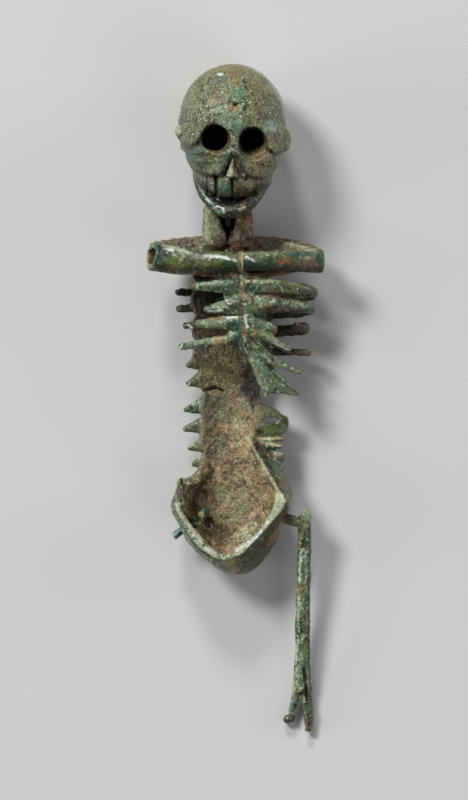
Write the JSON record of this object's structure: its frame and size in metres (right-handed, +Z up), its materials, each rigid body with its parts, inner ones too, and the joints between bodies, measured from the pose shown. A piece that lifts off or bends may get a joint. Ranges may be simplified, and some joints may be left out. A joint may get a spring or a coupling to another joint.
{
  "type": "bronze skeleton figurine",
  "caption": "Small cast bronze skeleton figurine, broken and corroded, lying on its back, with an open pelvis bowl and one loose-hung thigh.",
  "frame": {"origin": "middle of the figure, on the surface it lies on", "axes": "+Y from the foot end to the crown, +Z up out of the figure's front, +X to the viewer's right"},
  "size_m": [0.018, 0.0668, 0.0116],
  "materials": {
    "skull_bronze": "olive green patina, grainy and worn",
    "torso_bronze": "dark green patina with tan earth in the hollows",
    "wire_bronze": "dark blue-green corrosion",
    "leg_bronze": "pale green corrosion over dark bronze"
  },
  "bodies": {
    "root": {"skull": "skull_bronze", "torso": "torso_bronze", "right_hip_wire": "wire_bronze", "left_leg": "leg_bronze"}
  },
  "joints": []
}
